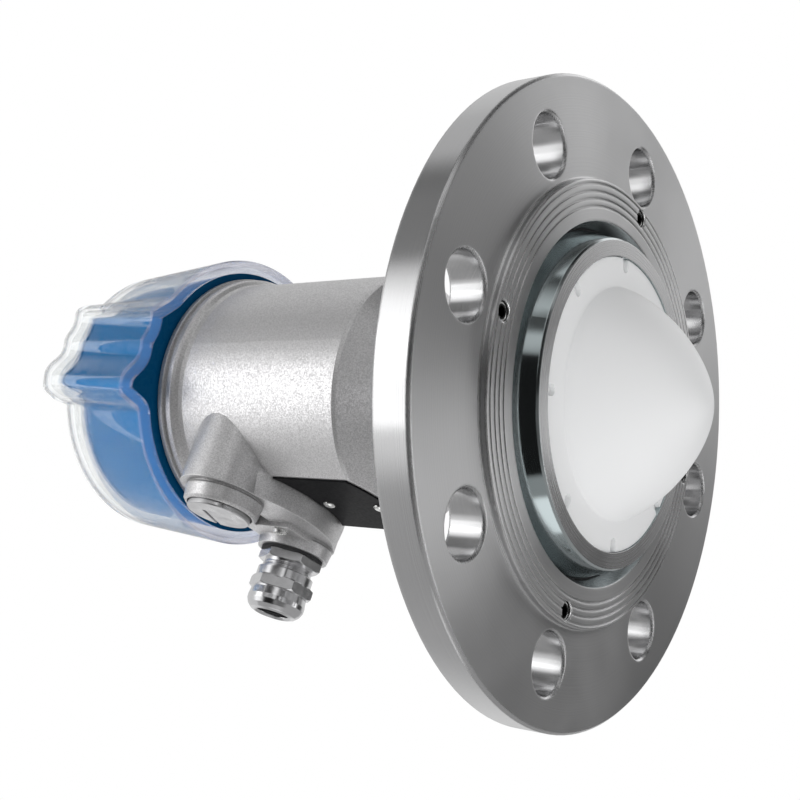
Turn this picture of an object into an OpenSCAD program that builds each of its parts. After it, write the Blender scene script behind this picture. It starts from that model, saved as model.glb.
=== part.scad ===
// Radar level transmitter on a round pipe flange, lens looking down.
// The antenna axis is Z. The sealing face of the flange lies on Z = 0, the housing stands
// above it, and the cable entries and the rating plate face -Y.

/* [Flange] */
// Outside diameter of the flange
flange_d = 235; // [225:1:245]
// Bolt circle diameter
bolt_circle_d = 190; // [186:1:194]
// Bolt hole diameter
bolt_hole_d = 22; // [18:1:24]
// Angle of the first bolt hole, from the side of the cable entries
first_hole_angle = -5.5; // [-22:0.5:22]
// Thickness of the flange plate behind the raised face
plate_t = 14; // [12:1:18]
// Diameter of the raised sealing face
face_d = 162; // [158:1:164]
// Height of the raised sealing face
face_h = 3; // [2:0.5:4]

/* [Antenna] */
// Outside diameter of the antenna ring at its front edge
ring_d = 119; // [117:0.5:120]
// Distance the ring stands out of the sealing face
ring_out = 5.7; // [4:0.1:8]
// Diameter of the lens disc
lens_d = 105.8; // [105:0.1:106]
// Diameter of the lens dome where it leaves the disc
dome_d = 84; // [80:1:90]
// Height of the lens dome above its disc
dome_h = 34; // [28:1:40]
// Number of spanner notches in the rim of the lens disc
lens_notches = 8; // [4:1:10]

/* [Housing] */
// Outside diameter of the housing barrel
barrel_d = 103.6; // [102:0.2:105]
// Level of the barrel's lower edge, where the shoulder starts
shoulder_z = 85.5; // [84:0.5:88]
// Level of the rim that the cover closes on
rim_z = 177; // [176:0.5:178]
// Distance from the axis to the flat that carries the rating plate
flat_y = 45.5; // [45:0.5:47]

/* [Cable entries] */
// Half the distance between the two entries
entry_x = 24.5; // [23:0.5:25]
// Level of the two entries
entry_z = 145; // [143:0.5:147]
// Distance from the axis to the outer face of the entries
entry_y = 62; // [60:0.5:64]

/* [Cover] */
// Diameter of the clear shell at its open rim
shell_d = 127.8; // [126:0.2:129]
// Diameter of the clear shell at its closed end
shell_end_d = 118; // [116:0.5:120]
// Length of the clear shell
shell_l = 54; // [50:1:58]
// Number of grip lobes
grip_lobes = 2; // [2:1:4]

/* [Hidden] */
$fn = 96;

flange_r = flange_d / 2;
face_r = face_d / 2;
front_z = face_h;
back_z = face_h + plate_t;
edge_bevel = 1;
hole_bevel = 0.8;

recess_r = 66;         // mouth of the recess round the antenna ring
recess_floor_r = 63.6;
recess_z = 6.6;
seal_t = 2;
seat_r = 60.05;        // bore that centres the antenna ring
seat_z = 12;
web_bore_r = 50;       // opening in the rear web of the flange
screw_pitch_r = 76.5;
screw_hole_r = 3.6;
groove_radii = [79.2, 76.4, 73.8, 71.2];
groove_w = 0.8;
groove_depth = 0.5;

ring_r = ring_d / 2;
ring_base_r = 63.2;
ring_spigot_r = 60;
lens_r = lens_d / 2;
lens_seat_r = lens_r + 0.15;
lens_step_z = 2;
lens_spigot_r = 50;
lens_back_z = 11;
lens_front_z = -ring_out + 0.5;
ring_bore_r = lens_spigot_r + 0.2;
lens_seal_z = 4.8;
groove_r = 1.6;        // depth of the grooves that hold the round seals
seal_w = 2.2;          // width of those grooves
notch_w = 3.6;
notch_deep = 5;
notch_tall = 1.8;
notch_phase = 28;      // angle from the first bolt hole to the first notch

cup_r = 56;
cup_wall = 4;
cup_top_z = 24;
neck_r = 28;
neck_z = 48;
collar_z = 66.5;
spigot_r = 24;
spigot_top_z = 90;
neck_seal_z = 74;
clip_t = 1.4;          // thickness of the retaining ring
horn_top_z = 52;
horn_roof_z = 56;
horn_mouth_r = 49.4;
guide_r = 6;
guide_collar_r = 9;
guide_bore_r = 2;
guide_top_z = 93;

barrel_r = barrel_d / 2;
run_gap = 0.3;
swivel_gap = 0.15;
hub_r = 36.5;
hub_z = collar_z;
cavity_r = 46;
floor_z = 86;
ledge_z = 90;          // ledge that the electronics module rests on
neck_thread_r = 50.2;
neck_top_z = rim_z + 17.8;
swivel_screw_r = 2;
screw_level_z = 71;

entry_thread_r = 9.6;
plug_r = 13.1;
plug_head_t = 4.2;
plug_slot_w = 1.7;
plug_slot_l = 18;
plug_slot_turn = 161;     // direction that the slot runs out in
plug_slot_aside = -4.6;   // from the middle of the plug to the middle of its slot
block_depth = 54.8;
block_root_y = 15;
block_root_r = 18.8;
block_aside = 0.8;     // shift of the foot from the axes of the entries
block_end_r = 18;
swell_r = 52;          // the side of the foot that faces the plate is an arc
swell_x = -1.5;
swell_half = 30.5;
swell_z = entry_z + 25.25;
swell_end_r = swell_r - 1.25;
boss_root_r = 16.2;
boss_end_r = 15.4;
pocket_floor_y = 48;
pocket_low_z = entry_z - 2.5;
pocket_high_z = entry_z + 3;
web_high_z = entry_z + 10.5;
earth_x = -4.4;          // ground screw, between the entries
earth_z = entry_z - 8;
earth_pad_x = -1;      // edge of the raised pad that carries the ground screw
earth_pad_y = 57.4;
earth_pad_low_z = entry_z - 14.5;
clamp_r = 3.4;
clamp_t = 0.6;

gland_thread_r = 9.5;
gland_tube_r = 10.3;
gland_nut_bore_r = gland_tube_r + 0.55;   // room for the thread between tube and nut
gland_nut_y = entry_y + 8;
gland_bore_r = 7.4;
gland_cup_r = 8.9;
gland_cup_y = entry_y + 8.2;
grommet_r = 8.6;
grommet_end_y = gland_cup_y + 13.6;
cable_r = 6;
hex_af = 24;
hex_r = hex_af / 2 / cos(30);

board_z = 94;
board_r = 30;
board_t = 1.6;
module_top_z = 126;
display_z = 203;
post_pitch_r = 38;

seam = 0.4;            // gap between the rim of the housing and the cover
cap_z = rim_z + seam;
cap_top_z = 225.5;
shell_r = shell_d / 2;
shell_end_r = shell_end_d / 2;
shell_top_z = cap_z + shell_l;
shell_wall = 2.6;
cap_inset = 5.8;       // from the outside of the shell in to the cap
seal_seat = 2.7;       // height of the seat of the cover's seal

// Grip lobe: a tall hump, a level run and a lower hump. Angles are from its steep side.
lobe_start = -30;      // angle of the steep side of the first lobe
lobe_span = 48;
lobe_foot = 7;         // how far the lobe's foot lies inside the shell
tall_mid = 8.8;
tall_r = shell_r + 9.3;
tall_w = 8.1;
low_mid = 37.5;
low_r = shell_r + 4.4;
low_w = 6.6;
run_r = shell_r + 2.8;

// Turns a piece so that its own Z runs out through a cable entry, along -Y.
module outwards(x, y, z) {
    translate([x, y, z]) rotate([90, 0, 0]) children();
}

// Ring with a square section between two radii, from z0 up to z1.
module ring(r_out, r_in, z0, z1) {
    rotate_extrude() translate([r_in, z0]) square([r_out - r_in, z1 - z0]);
}

// ---- Process connection ----

module bolt_holes() {
    for (i = [0:7]) {
        rotate([0, 0, first_hole_angle + 45 * i]) translate([bolt_circle_d / 2, 0, 0]) {
            translate([0, 0, -1]) cylinder(d = bolt_hole_d, h = back_z + 2);
            for (end = [[front_z, 0], [back_z, 180]]) {
                translate([0, 0, end[0]]) rotate([end[1], 0, 0]) translate([0, 0, -1])
                    cylinder(r1 = bolt_hole_d / 2 + hole_bevel + 1, r2 = bolt_hole_d / 2, h = hole_bevel + 1);
            }
        }
    }
}

module flange() {
    color([0.66, 0.67, 0.68]) difference() {
        rotate_extrude($fn = 180) polygon([
            [web_bore_r, seat_z], [seat_r, seat_z], [seat_r, recess_z + seal_t],
            [recess_floor_r, recess_z + seal_t], [recess_floor_r, recess_z], [recess_r, 0],
            [face_r - 0.6, 0], [face_r, 0.6], [face_r, front_z - 0.6], [face_r + 0.6, front_z],
            [flange_r - edge_bevel, front_z], [flange_r, front_z + edge_bevel],
            [flange_r, back_z - 1], [flange_r - 1, back_z], [web_bore_r, back_z]
        ]);
        bolt_holes();
        for (r = groove_radii) ring(r + groove_w / 2, r - groove_w / 2, -1, groove_depth);
        for (i = [0:3]) {
            rotate([0, 0, first_hole_angle + 90 * i]) translate([screw_pitch_r, 0, -1])
                cylinder(r = screw_hole_r, h = back_z - 2);
        }
    }
}

module recess_seal() {
    color([0.06, 0.06, 0.07]) ring(recess_floor_r - 0.1, ring_spigot_r + 0.1, recess_z, recess_z + seal_t);
}

// Cone-sided steel ring that clamps the lens.
module antenna_ring() {
    color([0.45, 0.47, 0.48]) rotate_extrude($fn = 180) polygon([
        [lens_seat_r, -ring_out], [ring_r - 0.7, -ring_out], [ring_r, -ring_out + 0.7],
        [ring_base_r, recess_z], [ring_spigot_r, recess_z], [ring_spigot_r, seat_z],
        [ring_bore_r, seat_z], [ring_bore_r, lens_seal_z + seal_w],
        [ring_bore_r + groove_r, lens_seal_z + seal_w], [ring_bore_r + groove_r, lens_seal_z],
        [ring_bore_r, lens_seal_z], [ring_bore_r, lens_step_z], [lens_seat_r, lens_step_z]
    ]);
}

// Half profile of the dome: a blunt paraboloid, from the disc to the tip.
function dome_r(t) = dome_d / 2 * pow(1 - pow(t, 1.35), 1 / 1.6);

module lens() {
    steps = 28;
    color([0.93, 0.93, 0.92]) difference() {
        rotate_extrude($fn = 144) polygon(concat(
            [[0, lens_back_z], [lens_spigot_r, lens_back_z], [lens_spigot_r, lens_step_z],
             [lens_r, lens_step_z], [lens_r, lens_front_z + 0.4], [lens_r - 0.4, lens_front_z]],
            [for (i = [0:steps]) let (t = 1 - pow(1 - i / steps, 1.6))
                [i == steps ? 0 : dome_r(t), lens_front_z - dome_h * t]]
        ));
        for (i = [0:lens_notches - 1]) {
            rotate([0, 0, first_hole_angle + notch_phase + i * 360 / lens_notches])
                translate([lens_r - notch_deep + notch_w / 2, 0, lens_front_z - 1])
                linear_extrude(notch_tall + 1) {
                    circle(d = notch_w);
                    translate([0, -notch_w / 2]) square([notch_deep, notch_w]);
                }
        }
    }
}

module lens_seal() {
    color([0.06, 0.06, 0.07]) ring(ring_bore_r + groove_r, lens_spigot_r + 0.05, lens_seal_z, lens_seal_z + seal_w);
}

module set_screws() {
    color([0.55, 0.56, 0.57]) for (i = [0:3]) {
        rotate([0, 0, first_hole_angle + 90 * i]) translate([screw_pitch_r, 0, 1]) difference() {
            union() {
                cylinder(r = screw_hole_r - 0.1, h = 9.4);
                cylinder(r = 1.6, h = back_z - 4);
            }
            translate([0, 0, -1]) cylinder(r = 2, h = 4, $fn = 6);
        }
    }
}

// Cup that closes the back of the flange, with the neck and the swivel spigot on top.
module process_adapter() {
    inner_r = cup_r - cup_wall;
    horn_roof_r = neck_r / 2;
    color([0.62, 0.63, 0.64]) rotate_extrude() polygon([
        [cup_r, back_z], [cup_r, cup_top_z], [cup_r - 2, cup_top_z + 2], [neck_r + 3, neck_z - 3],
        [neck_r, neck_z], [neck_r, collar_z - 5], [neck_r + 5, collar_z - 4], [neck_r + 5, collar_z],
        [spigot_r, collar_z], [spigot_r, neck_seal_z], [spigot_r - groove_r, neck_seal_z],
        [spigot_r - groove_r, neck_seal_z + seal_w], [spigot_r, neck_seal_z + seal_w],
        [spigot_r, floor_z], [spigot_r - groove_r, floor_z], [spigot_r - groove_r, floor_z + clip_t],
        [spigot_r, floor_z + clip_t], [spigot_r, spigot_top_z - 0.6], [spigot_r - 0.6, spigot_top_z],
        [guide_r + 0.05, spigot_top_z], [guide_r + 0.05, horn_roof_z], [horn_roof_r, horn_roof_z],
        [inner_r, cup_top_z], [inner_r, back_z]
    ]);
}

// Conical horn between the waveguide and the back of the lens.
module feed_horn() {
    wall = 2.2;
    color([0.75, 0.72, 0.62]) rotate_extrude() polygon([
        [horn_mouth_r, lens_back_z], [horn_mouth_r, back_z + 1], [guide_collar_r - 1, horn_top_z],
        [guide_bore_r, horn_top_z], [horn_mouth_r - wall, back_z - 1], [horn_mouth_r - wall, lens_back_z]
    ]);
}

// Tube with a collar that is held between the horn and the roof of the cup.
module waveguide() {
    color([0.75, 0.72, 0.62]) {
        ring(guide_r, guide_bore_r, horn_top_z, guide_top_z);
        ring(guide_collar_r, guide_bore_r, horn_top_z, horn_roof_z);
    }
}

module neck_seal() {
    color([0.06, 0.06, 0.07]) ring(spigot_r, spigot_r - groove_r + 0.05, neck_seal_z, neck_seal_z + seal_w);
}

// Split ring that sits on the floor of the housing and keeps it on the spigot.
module retaining_ring() {
    gap_angle = 13;
    color([0.5, 0.5, 0.52]) difference() {
        ring(spigot_r + 3, spigot_r - groove_r + 0.05, floor_z, floor_z + clip_t);
        translate([0, 0, floor_z - 1]) linear_extrude(clip_t + 2)
            polygon([[0, 0], 40 * [cos(gap_angle), sin(gap_angle)], 40 * [cos(gap_angle), -sin(gap_angle)]]);
    }
}

// ---- Housing ----

// Shared foot of the two entries, from the barrel out to the step in front of the bosses.
module entry_block() {
    for (side = [-1, 1]) {
        outwards(side * entry_x + block_aside, -block_root_y, entry_z + block_aside)
            cylinder(r1 = block_root_r, r2 = block_end_r, h = block_depth - block_root_y);
    }
    translate([-entry_x, 0, entry_z]) rotate([90, 0, 90]) linear_extrude(2 * entry_x) polygon([
        [-block_root_y, -block_root_r], [-block_root_y, block_root_r],
        [-block_depth, block_end_r], [-block_depth, -block_end_r]
    ]);
    intersection() {
        outwards(swell_x, -flat_y, swell_z) rotate_extrude($fn = 180) polygon([
            [0, -8], [swell_r, -8], [swell_r, 0], [swell_end_r, block_depth - flat_y], [0, block_depth - flat_y]
        ]);
        translate([swell_x - swell_half, -block_depth, entry_z - 2 * block_root_r])
            cube([2 * swell_half, block_depth, 2 * block_root_r]);
    }
}

module entry_boss(side) {
    l = entry_y - block_depth;
    outwards(side * entry_x, -block_depth + 1, entry_z) rotate_extrude() polygon([
        [0, 0], [boss_root_r - 0.5, 0], [boss_root_r - 0.5, 1.8], [boss_root_r, 2.2],
        [boss_end_r, l], [boss_end_r - 0.9, l + 1], [0, l + 1]
    ]);
}

// Recess between the pad of the ground screw and the boss of the blind plug.
module entry_pocket() {
    translate([earth_pad_x, -block_depth - 1, pocket_low_z])
        cube([entry_x - earth_pad_x, block_depth - pocket_floor_y + 1, pocket_high_z - pocket_low_z]);
}

// Raised pad of the ground screw, and the web that joins it to the boss of the blind plug.
module earth_pad() {
    translate([-entry_x, -earth_pad_y, earth_pad_low_z])
        cube([entry_x + earth_pad_x, earth_pad_y - pocket_floor_y, pocket_high_z - earth_pad_low_z]);
    translate([-entry_x, -earth_pad_y, pocket_high_z])
        cube([entry_x + entry_x / 2, earth_pad_y - pocket_floor_y, web_high_z - pocket_high_z]);
}

// Hub, shoulder, barrel, rim and neck, turned about the main axis.
module barrel() {
    rotate_extrude($fn = 144) polygon([
        [0, hub_z], [hub_r - 1, hub_z], [hub_r, hub_z + 1], [hub_r, shoulder_z - barrel_r + hub_r],
        [barrel_r - 0.6, shoulder_z - 0.6], [barrel_r, shoulder_z + 0.8],
        [barrel_r, rim_z - 11.5], [barrel_r + 0.7, rim_z - 9.6], [barrel_r + 2.2, rim_z - 8.2],
        [barrel_r + 2.8, rim_z - 7], [barrel_r + 2.8, rim_z - 4.8], [barrel_r + 2, rim_z - 4],
        [barrel_r + 2, rim_z - 3.2], [barrel_r + 3.4, rim_z - 2.8], [barrel_r + 3.4, rim_z - 0.6],
        [barrel_r + 2.8, rim_z], [neck_thread_r, rim_z], [neck_thread_r, neck_top_z - 0.8],
        [neck_thread_r - 0.8, neck_top_z], [0, neck_top_z]
    ]);
}

module housing() {
    color([0.72, 0.73, 0.74]) difference() {
        union() {
            difference() {
                union() {
                    difference() {
                        barrel();
                        translate([-40, -flat_y - 40, 0]) cube([80, 40, entry_z - block_root_r / 2]);
                    }
                    entry_block();
                }
                entry_pocket();
            }
            for (side = [-1, 1]) entry_boss(side);
            earth_pad();
        }
        translate([0, 0, ledge_z]) cylinder(r = cavity_r, h = neck_top_z, $fn = 144);
        translate([0, 0, floor_z]) cylinder(r = cavity_r - 4, h = neck_top_z - floor_z, $fn = 144);
        cylinder(r = spigot_r + swivel_gap, h = floor_z + 1);
        for (side = [-1, 1]) outwards(side * entry_x, 0, entry_z) cylinder(r = entry_thread_r, h = entry_y + 1);
        outwards(entry_x, -entry_y + 3, entry_z) cylinder(r = plug_r + 0.6, h = 4);
        outwards(-entry_x, -entry_y + 1, entry_z) cylinder(r = boss_root_r + 1, h = 4);
        outwards(earth_x, -earth_pad_y + 7, earth_z) cylinder(r = 2.1, h = 12);
        translate([0, 0, screw_level_z]) rotate([-90, 0, 0]) cylinder(r = swivel_screw_r, h = 60);
    }
}

// Socket set screw that locks the swivel, at the back of the hub.
module swivel_screw() {
    color([0.3, 0.3, 0.32]) difference() {
        translate([0, spigot_r + run_gap, screw_level_z]) rotate([-90, 0, 0]) cylinder(r = swivel_screw_r, h = 11.7);
        translate([0, spigot_r + 9, screw_level_z]) rotate([-90, 0, 0]) cylinder(r = 1.15, h = 5, $fn = 6);
    }
}

// Plate outline: along the foot of the entries, following the shoulder's edge at the other end.
module plate_outline() {
    half_w = 23.6;
    gap_r = swell_r + 0.8;
    top = [for (x = [-half_w : half_w / 6 : half_w]) [x, swell_z - sqrt(gap_r * gap_r - (x - swell_x) * (x - swell_x))]];
    low = [for (x = [half_w : -half_w / 6 : -half_w]) [x, shoulder_z + 1.8 - barrel_r + sqrt(flat_y * flat_y + x * x)]];
    polygon(concat(top, low));
}

module nameplate() {
    color([0.05, 0.05, 0.055]) translate([0, -flat_y, 0]) rotate([90, 0, 0]) linear_extrude(0.7) plate_outline();
}

module plate_rivets() {
    color([0.8, 0.8, 0.8]) for (z = [86.5, 112]) {
        outwards(0, -flat_y - 0.7, z) rotate_extrude() polygon([
            [0, 0], [2.6, 0], [2.4, 0.5], [1.6, 1], [0, 1.2]
        ]);
    }
}

module ground_screw() {
    shank = 7;
    color([0.7, 0.7, 0.68]) outwards(earth_x, -earth_pad_y - clamp_t + shank, earth_z) difference() {
        union() {
            cylinder(r = 2, h = shank);
            translate([0, 0, shank]) cylinder(r1 = 3.1, r2 = 2.7, h = 1.2);
        }
        translate([-0.4, -5, shank + 0.6]) cube([0.8, 10, 3]);
    }
}

module ground_clamp() {
    color([0.78, 0.78, 0.76]) outwards(earth_x, -earth_pad_y, earth_z) ring(clamp_r, 2.1, 0, clamp_t);
}

// ---- Inside the housing ----

module rf_board() {
    color([0.1, 0.35, 0.2]) {
        translate([0, 0, board_z]) cylinder(r = board_r, h = board_t);
        translate([-9, -9, board_z + board_t]) cube([18, 18, 4]);
    }
}

// Potted electronics cup with the terminal deck on top.
module electronics_module() {
    color([0.12, 0.12, 0.13]) difference() {
        translate([0, 0, ledge_z]) cylinder(r = cavity_r - 0.6, h = module_top_z - ledge_z);
        translate([0, 0, ledge_z - 1]) cylinder(r = board_r + 0.2, h = board_z + board_t - ledge_z + 1);
        translate([0, 0, ledge_z]) cylinder(r = board_r - 3, h = board_z + board_t - ledge_z + 6);
        translate([-entry_x, -26, module_top_z - 6]) cube([2 * entry_x, 8, 10]);
    }
}

module terminal_block() {
    color([0.25, 0.5, 0.3]) translate([-27, 8, module_top_z]) difference() {
        cube([54, 18, 14]);
        for (i = [0:5]) {
            translate([5 + i * 8.8, 9, 9]) cylinder(r = 2.7, h = 10);
            translate([2.4 + i * 8.8, -1, 2.5]) cube([5.2, 6, 4.5]);
        }
    }
}

module terminal_screws() {
    color([0.75, 0.75, 0.72]) for (i = [0:5]) {
        translate([-22 + i * 8.8, 17, module_top_z + 9]) difference() {
            cylinder(r = 2.5, h = 2.6);
            translate([-0.4, -4, 1.4]) cube([0.8, 8, 3]);
        }
    }
}

module terminal_tabs() {
    color([0.8, 0.78, 0.6]) for (i = [0:5]) {
        translate([-23.6 + i * 8.8, 9.5, module_top_z + 2.5]) cube([3.2, 3.5, 1]);
    }
}

// Three posts and a tray that carry the plug-in display.
module display_frame() {
    color([0.15, 0.15, 0.16]) {
        for (a = [30, 150, 270]) rotate([0, 0, a]) translate([post_pitch_r, 0, module_top_z])
            cylinder(r = 3, h = display_z - module_top_z + 1, $fn = 32);
        translate([0, 0, display_z]) ring(42, 30, 0, 2);
    }
}

module display_module() {
    color([0.2, 0.2, 0.22]) difference() {
        translate([0, 0, display_z + 2]) rotate_extrude() polygon([
            [0, 0], [41, 0], [41, 9], [39.5, 10.5], [0, 10.5]
        ]);
        translate([-24, -6, display_z + 11]) cube([48, 28, 4]);
    }
}

module display_window() {
    color([0.35, 0.42, 0.36]) translate([-24, -6, display_z + 11]) cube([48, 28, 1]);
}

module display_keys() {
    color([0.75, 0.76, 0.78]) for (i = [0:3]) {
        translate([-21 + i * 14, -18, display_z + 12.5]) cylinder(r = 3.6, h = 1.2, $fn = 48);
    }
}

// ---- Cable gland and blind plug ----

module gland_washer() {
    color([0.05, 0.05, 0.05]) outwards(-entry_x, -entry_y + 1, entry_z) ring(13.5, entry_thread_r + 0.1, 0, 1.2);
}

module gland_body() {
    base = entry_y + 0.2;
    body_hex_l = 4.1;
    color([0.75, 0.76, 0.77]) outwards(-entry_x, 0, entry_z) difference() {
        union() {
            translate([0, 0, base - 15]) cylinder(r = gland_thread_r, h = 15.5);
            translate([0, 0, base]) intersection() {
                cylinder(r = hex_r, h = body_hex_l, $fn = 6);
                rotate_extrude() polygon([
                    [0, 0], [hex_r - 1, 0], [hex_r, 0.6], [hex_r, body_hex_l - 0.8],
                    [hex_r - 1.3, body_hex_l], [0, body_hex_l]
                ]);
            }
            translate([0, 0, base]) cylinder(r = gland_tube_r, h = 15.8);
        }
        translate([0, 0, base - 16]) cylinder(r = gland_bore_r, h = 40);
        translate([0, 0, gland_cup_y]) cylinder(r = gland_cup_r, h = 10);
    }
}

module gland_grommet() {
    color([0.08, 0.08, 0.09]) outwards(-entry_x, 0, entry_z) difference() {
        rotate_extrude() polygon([
            [cable_r, gland_cup_y], [grommet_r, gland_cup_y], [grommet_r, grommet_end_y - 1],
            [grommet_r - 0.8, grommet_end_y], [cable_r + 0.6, grommet_end_y], [cable_r, grommet_end_y - 0.6]
        ]);
    }
}

module gland_nut() {
    start = gland_nut_y;
    skirt_l = 3.8;
    hex_l = 4.8;
    color([0.77, 0.78, 0.79]) outwards(-entry_x, 0, entry_z) difference() {
        union() {
            translate([0, 0, start]) cylinder(r = 12.1, h = skirt_l + 0.5);
            translate([0, 0, start + skirt_l]) intersection() {
                cylinder(r = hex_r, h = hex_l, $fn = 6);
                rotate_extrude() polygon([
                    [0, 0], [hex_r - 1.2, 0], [hex_r, 0.7], [hex_r, hex_l - 0.8], [hex_r - 1, hex_l], [0, hex_l]
                ]);
            }
            rotate_extrude() polygon([
                [0, start + 8.3], [11.9, start + 8.3], [12, start + 9.4], [12.4, start + 12.2],
                [12.3, start + 14], [11.4, start + 15.9], [9.8, start + 17.4], [8.2, start + 18], [0, start + 18]
            ]);
        }
        translate([0, 0, start - 1]) cylinder(r = gland_nut_bore_r, h = 12.2);
        translate([0, 0, start]) cylinder(r = grommet_r + run_gap, h = grommet_end_y - start);
        translate([0, 0, start]) cylinder(r = 7.1, h = 30);
        translate([0, 0, start + 17]) cylinder(r1 = 7.1, r2 = 8.1, h = 1.01);
    }
}

module plug_seal() {
    color([0.05, 0.05, 0.05]) outwards(entry_x, -entry_y + 3, entry_z) ring(plug_r - 0.3, entry_thread_r + 0.2, 0, 0.8);
}

module blind_plug() {
    head = entry_y - 2.2;
    color([0.72, 0.73, 0.74]) outwards(entry_x, 0, entry_z) difference() {
        rotate_extrude() polygon([
            [0, head - 13], [8.6, head - 13], [entry_thread_r - run_gap, head - 12.2],
            [entry_thread_r - run_gap, head], [plug_r, head], [plug_r, head + plug_head_t - 0.4],
            [plug_r - 0.4, head + plug_head_t], [0, head + plug_head_t]
        ]);
        rotate([0, 0, plug_slot_turn])
            translate([plug_r + 1 - plug_slot_l, plug_slot_aside - plug_slot_w / 2, head + plug_head_t - 1.2])
            cube([plug_slot_l, plug_slot_w, 2]);
    }
}

// ---- Cover ----

// Radius at angle a of a round hump of radius w whose crest is at angle mid and radius top,
// drawn in by d. Zero beside the hump.
function hump(a, mid, top, w, d) =
    let (x = (top - w) * sin(a - mid), q = pow(w - d, 2) - x * x)
    q > 0 && abs(a - mid) < 60 ? (top - w) * cos(a - mid) + sqrt(q) : 0;

// Radius of the level run between the two humps.
function level_run(a, d) = a > tall_mid + d / 2 && a < low_mid - d / 2 ? run_r - d : 0;

// Radius of a whole lobe: the largest of its three parts, with softened valleys between them.
function lobe_r(a, d) =
    let (k = 1.4, low = shell_end_r - lobe_foot,
         h = [hump(a, tall_mid, tall_r, tall_w, d), hump(a, low_mid, low_r, low_w, d), level_run(a, d), low])
    low + ln([for (r = h) exp(k * (r - low))] * [1, 1, 1, 1]) / k;

// The lobes start at their steep side and lean away from the entries.
module lobes(d, z0, z1) {
    for (i = [0:grip_lobes - 1]) {
        rotate([0, 0, i * 360 / grip_lobes + lobe_start]) translate([0, 0, z0]) linear_extrude(z1 - z0)
            polygon(concat([[20, 4]], [for (a = [-3 : 1.5 : lobe_span]) lobe_r(a, d) * [cos(a), sin(a)]]));
    }
}

// Solid of the grip: a shallow cone with the lobes on it, drawn in by d all round.
module grip(d, z0, z1) {
    slope = (shell_r - shell_end_r) / shell_l;
    rotate_extrude($fn = 144) polygon([
        [0, z0], [shell_r - d - slope * (z0 - cap_z), z0],
        [shell_r - d - slope * (z1 - 2 - cap_z), z1 - 2], [shell_r - d - slope * (z1 - cap_z) - 1.6, z1], [0, z1]
    ]);
    lobes(d, z0, z1 - 1.6);
    lobes(d + 1.4, z0, z1);
}

module cover_seal() {
    color([0.05, 0.05, 0.05]) ring(neck_thread_r + 1.8, neck_thread_r + run_gap, rim_z, cap_z + seal_seat);
}

module blue_cover() {
    bore_r = neck_thread_r + run_gap;
    color([0.07, 0.36, 0.68]) difference() {
        union() {
            grip(cap_inset, cap_z, cap_top_z);
            translate([0, 0, cap_top_z]) cylinder(r = 24, h = shell_top_z - shell_wall - cap_top_z);
        }
        translate([0, 0, cap_z - 1]) cylinder(r = bore_r, h = 20, $fn = 144);
        translate([0, 0, cap_z - 1]) cylinder(r = neck_thread_r + 2.1, h = seal_seat + 1, $fn = 144);
        translate([0, 0, cap_z + 18]) cylinder(r = 48.6, h = cap_top_z - cap_z - 22, $fn = 144);
    }
}

module clear_shell() {
    lip = 2.6;
    color([0.86, 0.88, 0.93, 0.35]) difference() {
        grip(0, cap_z, shell_top_z);
        grip(cap_inset - 0.05, cap_z - 1, cap_z + lip + 3);
        grip(shell_wall, cap_z + lip, shell_top_z - shell_wall);
    }
}

flange();
recess_seal();
antenna_ring();
lens();
lens_seal();
set_screws();
process_adapter();
feed_horn();
waveguide();
neck_seal();
retaining_ring();
housing();
swivel_screw();
nameplate();
plate_rivets();
ground_screw();
ground_clamp();
rf_board();
electronics_module();
terminal_block();
terminal_screws();
terminal_tabs();
display_frame();
display_module();
display_window();
display_keys();
gland_washer();
gland_body();
gland_grommet();
gland_nut();
plug_seal();
blind_plug();
cover_seal();
blue_cover();
clear_shell();
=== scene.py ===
"""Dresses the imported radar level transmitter: its finishes, its moulded cover, its lens and its threads."""

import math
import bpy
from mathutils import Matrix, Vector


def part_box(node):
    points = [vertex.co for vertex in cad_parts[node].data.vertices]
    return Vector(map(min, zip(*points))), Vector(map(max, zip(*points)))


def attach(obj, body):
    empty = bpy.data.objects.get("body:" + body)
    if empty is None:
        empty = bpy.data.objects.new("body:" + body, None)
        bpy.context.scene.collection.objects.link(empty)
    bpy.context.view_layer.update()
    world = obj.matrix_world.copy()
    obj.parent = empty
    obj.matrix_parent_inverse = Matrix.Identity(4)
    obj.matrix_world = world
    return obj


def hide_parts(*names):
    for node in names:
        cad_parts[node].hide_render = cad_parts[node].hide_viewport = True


bl_info = {
    "name": "Radar level transmitter",
    "version": (1, 0, 0),
    "blender": (4, 5, 0),
    "location": "View3D > Sidebar > Transmitter",
    "description": "Finishes, moulded cover, lens and threads for a flanged radar level transmitter",
    "category": "Add Mesh",
}

from typing import NamedTuple

import bpy
import numpy as np
from bpy.props import FloatProperty, FloatVectorProperty, IntProperty, PointerProperty
from bpy.types import Operator, Panel, PropertyGroup
from mathutils import Matrix, Vector

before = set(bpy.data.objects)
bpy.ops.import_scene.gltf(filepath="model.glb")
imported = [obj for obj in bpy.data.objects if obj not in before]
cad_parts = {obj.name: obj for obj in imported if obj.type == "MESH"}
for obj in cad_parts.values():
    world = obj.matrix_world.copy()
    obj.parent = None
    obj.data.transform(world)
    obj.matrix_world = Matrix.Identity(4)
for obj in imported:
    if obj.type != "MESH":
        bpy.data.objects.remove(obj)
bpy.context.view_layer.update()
MM = 0.001
TURN = 2 * math.pi
UP = (0, 0, 1)

# The four small holes of the raised face. Their sizes, as all sizes named by a number here, are in
# millimetres.
SCREW_HOLES = 4
SCREW_HOLE_R = 3.6
SCREW_CIRCLE_R = 76.5
FIRST_SCREW = math.radians(-5.5)


def box_mm(node):
    """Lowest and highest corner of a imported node, in millimetres."""
    low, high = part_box(node)
    return np.array(low) / MM, np.array(high) / MM


# ---- Sizes and colours that a user would change ----


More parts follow.
